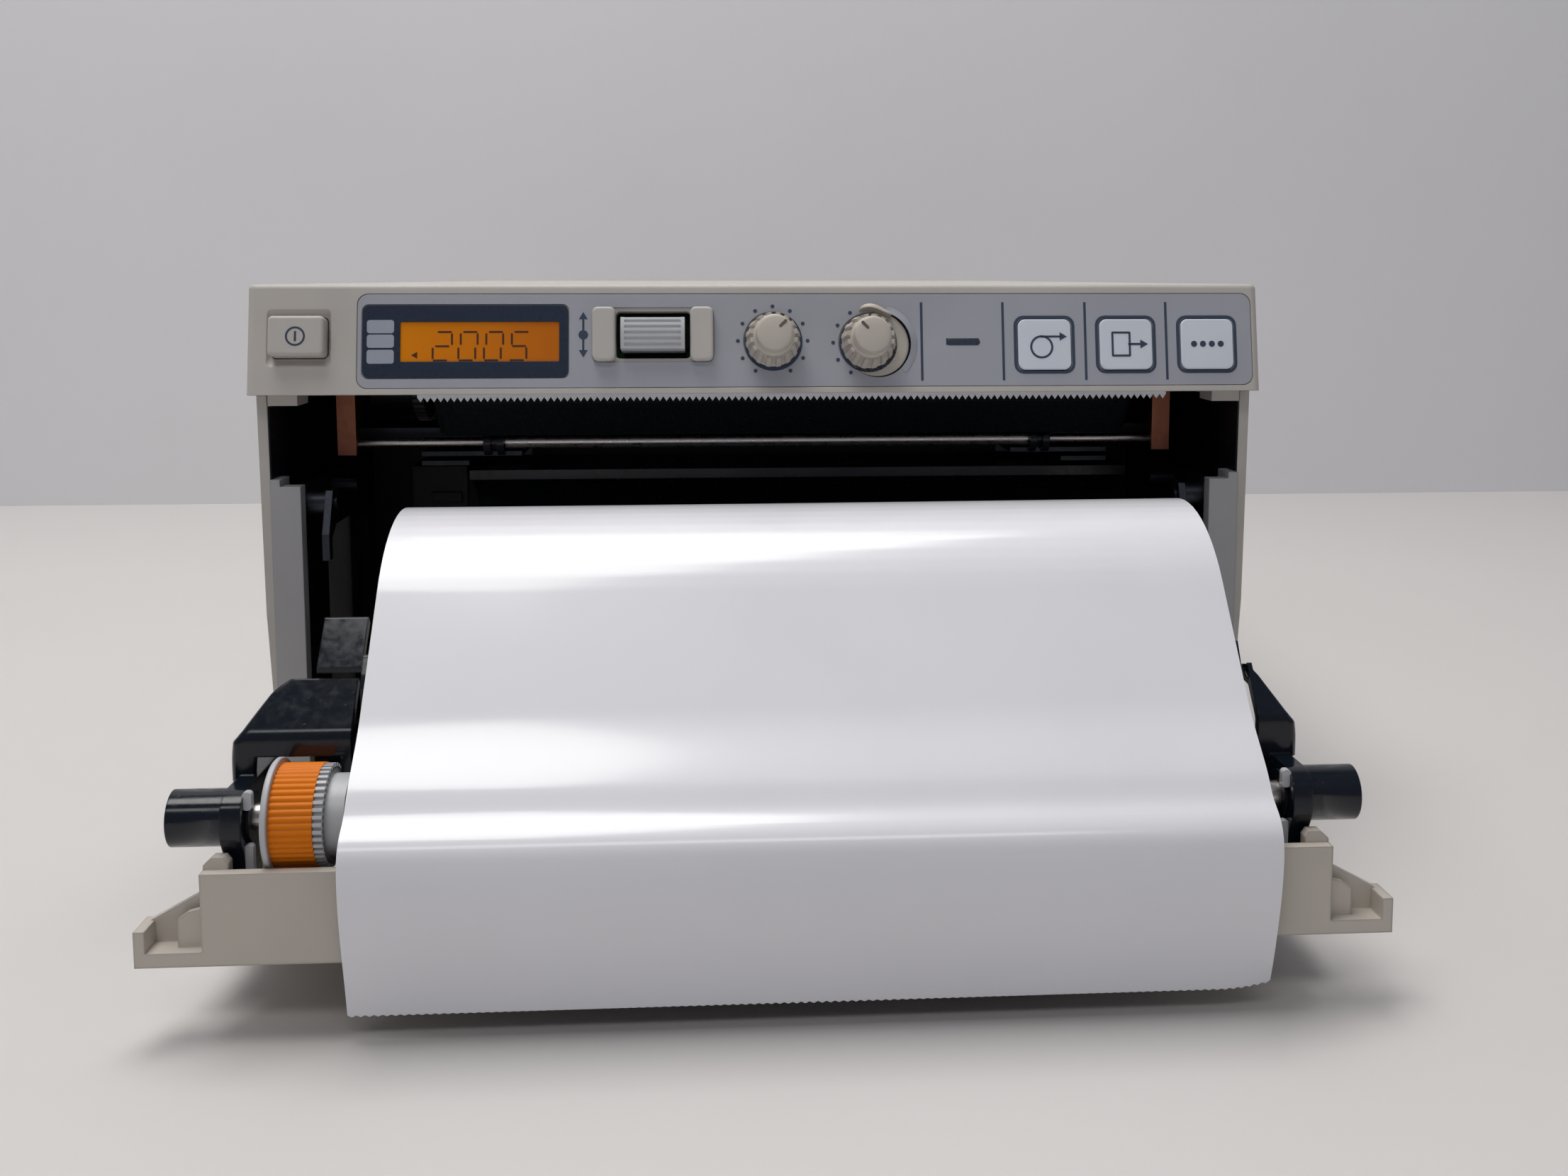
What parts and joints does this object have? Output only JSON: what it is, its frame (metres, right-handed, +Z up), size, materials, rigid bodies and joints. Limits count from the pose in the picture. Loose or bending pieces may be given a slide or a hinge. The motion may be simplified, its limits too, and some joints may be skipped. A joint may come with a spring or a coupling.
{
  "type": "thermal printer",
  "caption": "Compact thermal printer with its front door folded down, showing the paper roll, platen roller and thumbwheel under a sloping control panel with knobs and keys.",
  "frame": {"origin": "on the table, under the middle of the printer with its door open", "axes": "+Z up, +X to the right of someone facing the control panel, +Y towards the rear; the front faces -Y"},
  "size_m": [0.154, 0.3009, 0.088],
  "materials": {
    "housing_grey": "fine texture",
    "bezel_grey": "fine texture",
    "door_beige": "fine texture",
    "film": "satin film",
    "clear": "clear",
    "display": "dull",
    "key": "semi-gloss",
    "knob": "satin",
    "black": "semi-gloss",
    "white_plastic": "satin",
    "orange": "satin",
    "roller_rubber": "satin",
    "steel": "brushed",
    "plated": "satin",
    "copper": "satin",
    "sink": "satin",
    "ceramic": "glazed",
    "board": "lacquered",
    "paper": "smooth",
    "card": "matt",
    "foot_rubber": "matt",
    "base_steel": "matt"
  },
  "bodies": {
    "housing": {"base_pan": "base_steel", "rubber_feet": "foot_rubber", "top_cover": "housing_grey", "rear_panel": "base_steel", "cover_screws": "steel", "front_bezel": "bezel_grey", "panel_film": "film", "display_window": "clear", "lcd_module": "display", "receive_lamp": "key", "lever_blocks": "film", "control_board": "board", "panel_switches": "black", "knob_pots": "steel", "front_columns": "bezel_grey", "hinge_pins": "steel", "bay_cheeks": "black", "bay_pins": "steel", "bay_bulkhead": "black", "bay_liner": "black", "paper_sensor": "key", "tear_blade": "steel", "thermal_head": "ceramic", "heat_sink": "sink", "head_plates": "copper", "head_bracket": "plated", "guide_shaft": "steel", "shaft_collars": "black", "drive_plate": "plated", "feed_motor": "steel", "main_board": "board", "power_supply": "board", "video_connectors": "steel", "remote_jack": "black", "mains_inlet": "black"},
    "power_button": {"power_button": "bezel_grey"},
    "feed_key": {"feed_key": "key"},
    "copy_key": {"copy_key": "key"},
    "open_key": {"open_key": "key"},
    "contrast_knob": {"contrast_knob": "knob"},
    "brightness_knob": {"brightness_knob": "knob"},
    "lever_plunger": {"lever_plunger": "black"},
    "menu_lever": {"menu_lever": "key"},
    "left_latch": {"left_latch": "steel"},
    "right_latch": {"right_latch": "steel"},
    "idler": {"drive_gear": "white_plastic"},
    "pinion": {"motor_pinion": "white_plastic"},
    "door": {"door_panel": "door_beige", "paper_tray": "black", "paper_guide": "black", "left_bracket": "black", "right_bracket": "black", "platen_bushes": "foot_rubber", "paper_sheet": "paper"},
    "platen": {"platen_roller": "roller_rubber", "platen_shaft": "steel", "platen_gear": "white_plastic", "thumbwheel": "orange"},
    "roll": {"paper_roll": "paper", "roll_core": "card"}
  },
  "joints": [
    {"name": "door_hinge", "type": "hinge", "parent": "housing", "child": "door", "pos_m": [0, -0.0882, 0.01025], "axis": [-1, 0, 0], "range_deg": [0, 90], "deforming": ["paper_sheet"]},
    {"name": "platen_turn", "type": "hinge", "parent": "door", "child": "platen", "pos_m": [0, -0.13955, 0.025], "axis": [1, 0, 0], "continuous": true},
    {"name": "roll_turn", "type": "hinge", "parent": "door", "child": "roll", "pos_m": [0, -0.10835, 0.0349], "axis": [1, 0, 0], "continuous": true},
    {"name": "power_button_press", "type": "slide", "parent": "housing", "child": "power_button", "axis": [0, 0.9815, -0.1915], "range_m": [0, 0.0016], "stiffness_N_per_m": 60},
    {"name": "feed_key_press", "type": "slide", "parent": "housing", "child": "feed_key", "axis": [0, 0.9815, -0.1915], "range_m": [0, 0.00025], "stiffness_N_per_m": 200},
    {"name": "copy_key_press", "type": "slide", "parent": "housing", "child": "copy_key", "axis": [0, 0.9815, -0.1915], "range_m": [0, 0.00025], "stiffness_N_per_m": 200},
    {"name": "open_key_press", "type": "slide", "parent": "housing", "child": "open_key", "axis": [0, 0.9815, -0.1915], "range_m": [0, 0.00025], "stiffness_N_per_m": 200},
    {"name": "contrast_turn", "type": "hinge", "parent": "housing", "child": "contrast_knob", "pos_m": [0.0014, -0.08802, 0.07945], "axis": [0, 0.9815, -0.1915], "range_deg": [-195, 105]},
    {"name": "brightness_turn", "type": "hinge", "parent": "housing", "child": "brightness_knob", "pos_m": [0.0159, -0.08808, 0.07916], "axis": [0, 0.9815, -0.1915], "range_deg": [-107, 193]},
    {"name": "menu_push", "type": "slide", "parent": "housing", "child": "lever_plunger", "axis": [0, 0.9815, -0.1915], "range_m": [0, 0.0006], "stiffness_N_per_m": 200},
    {"name": "menu_tilt", "type": "hinge", "parent": "lever_plunger", "child": "menu_lever", "pos_m": [-0.0167, -0.084, 0.07969], "axis": [1, 0, 0], "range_deg": [-10, 10], "stiffness_Nm_per_rad": 0.02},
    {"name": "left_latch_swing", "type": "hinge", "parent": "housing", "child": "left_latch", "pos_m": [-0.0674, -0.08155, 0.0544], "axis": [1, 0, 0], "range_deg": [-8, 6]},
    {"name": "right_latch_swing", "type": "hinge", "parent": "housing", "child": "right_latch", "pos_m": [0.0674, -0.08155, 0.0544], "axis": [1, 0, 0], "range_deg": [-8, 6]},
    {"name": "idler_turn", "type": "hinge", "parent": "housing", "child": "idler", "pos_m": [-0.055, -0.06563, 0.07387], "axis": [1, 0, 0], "continuous": true},
    {"name": "pinion_turn", "type": "hinge", "parent": "housing", "child": "pinion", "pos_m": [-0.055, -0.05308, 0.07387], "axis": [1, 0, 0], "continuous": true}
  ],
  "couplings": [
    {"joint": "pinion_turn", "follows": "idler_turn", "ratio": -2}
  ]
}
